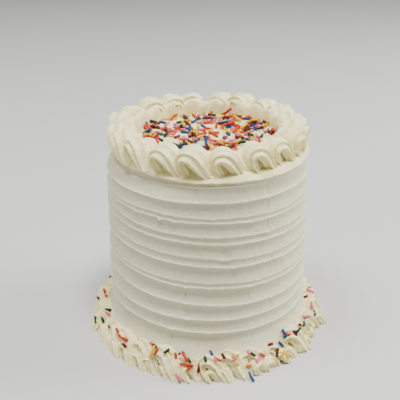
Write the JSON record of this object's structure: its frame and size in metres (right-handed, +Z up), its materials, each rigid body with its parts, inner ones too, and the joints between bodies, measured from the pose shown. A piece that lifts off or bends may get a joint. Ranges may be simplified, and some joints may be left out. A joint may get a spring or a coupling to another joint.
{
  "type": "birthday cake",
  "caption": "Tall round cake in white buttercream with ridged sides, a piped shell border round top and base, and rod sprinkles.",
  "frame": {"origin": "centre of the flat underside of the iced cake, on the surface that the cake stands on", "axes": "+Z up along the axis of the cake, -Y towards the front as pictured, +X to the right seen from the front"},
  "size_m": [0.19, 0.1889, 0.1731],
  "materials": {
    "iced_cake": "soft satin buttercream",
    "top_border": "soft satin buttercream",
    "base_border": "soft satin buttercream"
  },
  "bodies": {
    "root": {"iced_cake": "iced_cake", "top_border": "top_border", "base_border": "base_border"}
  },
  "joints": []
}
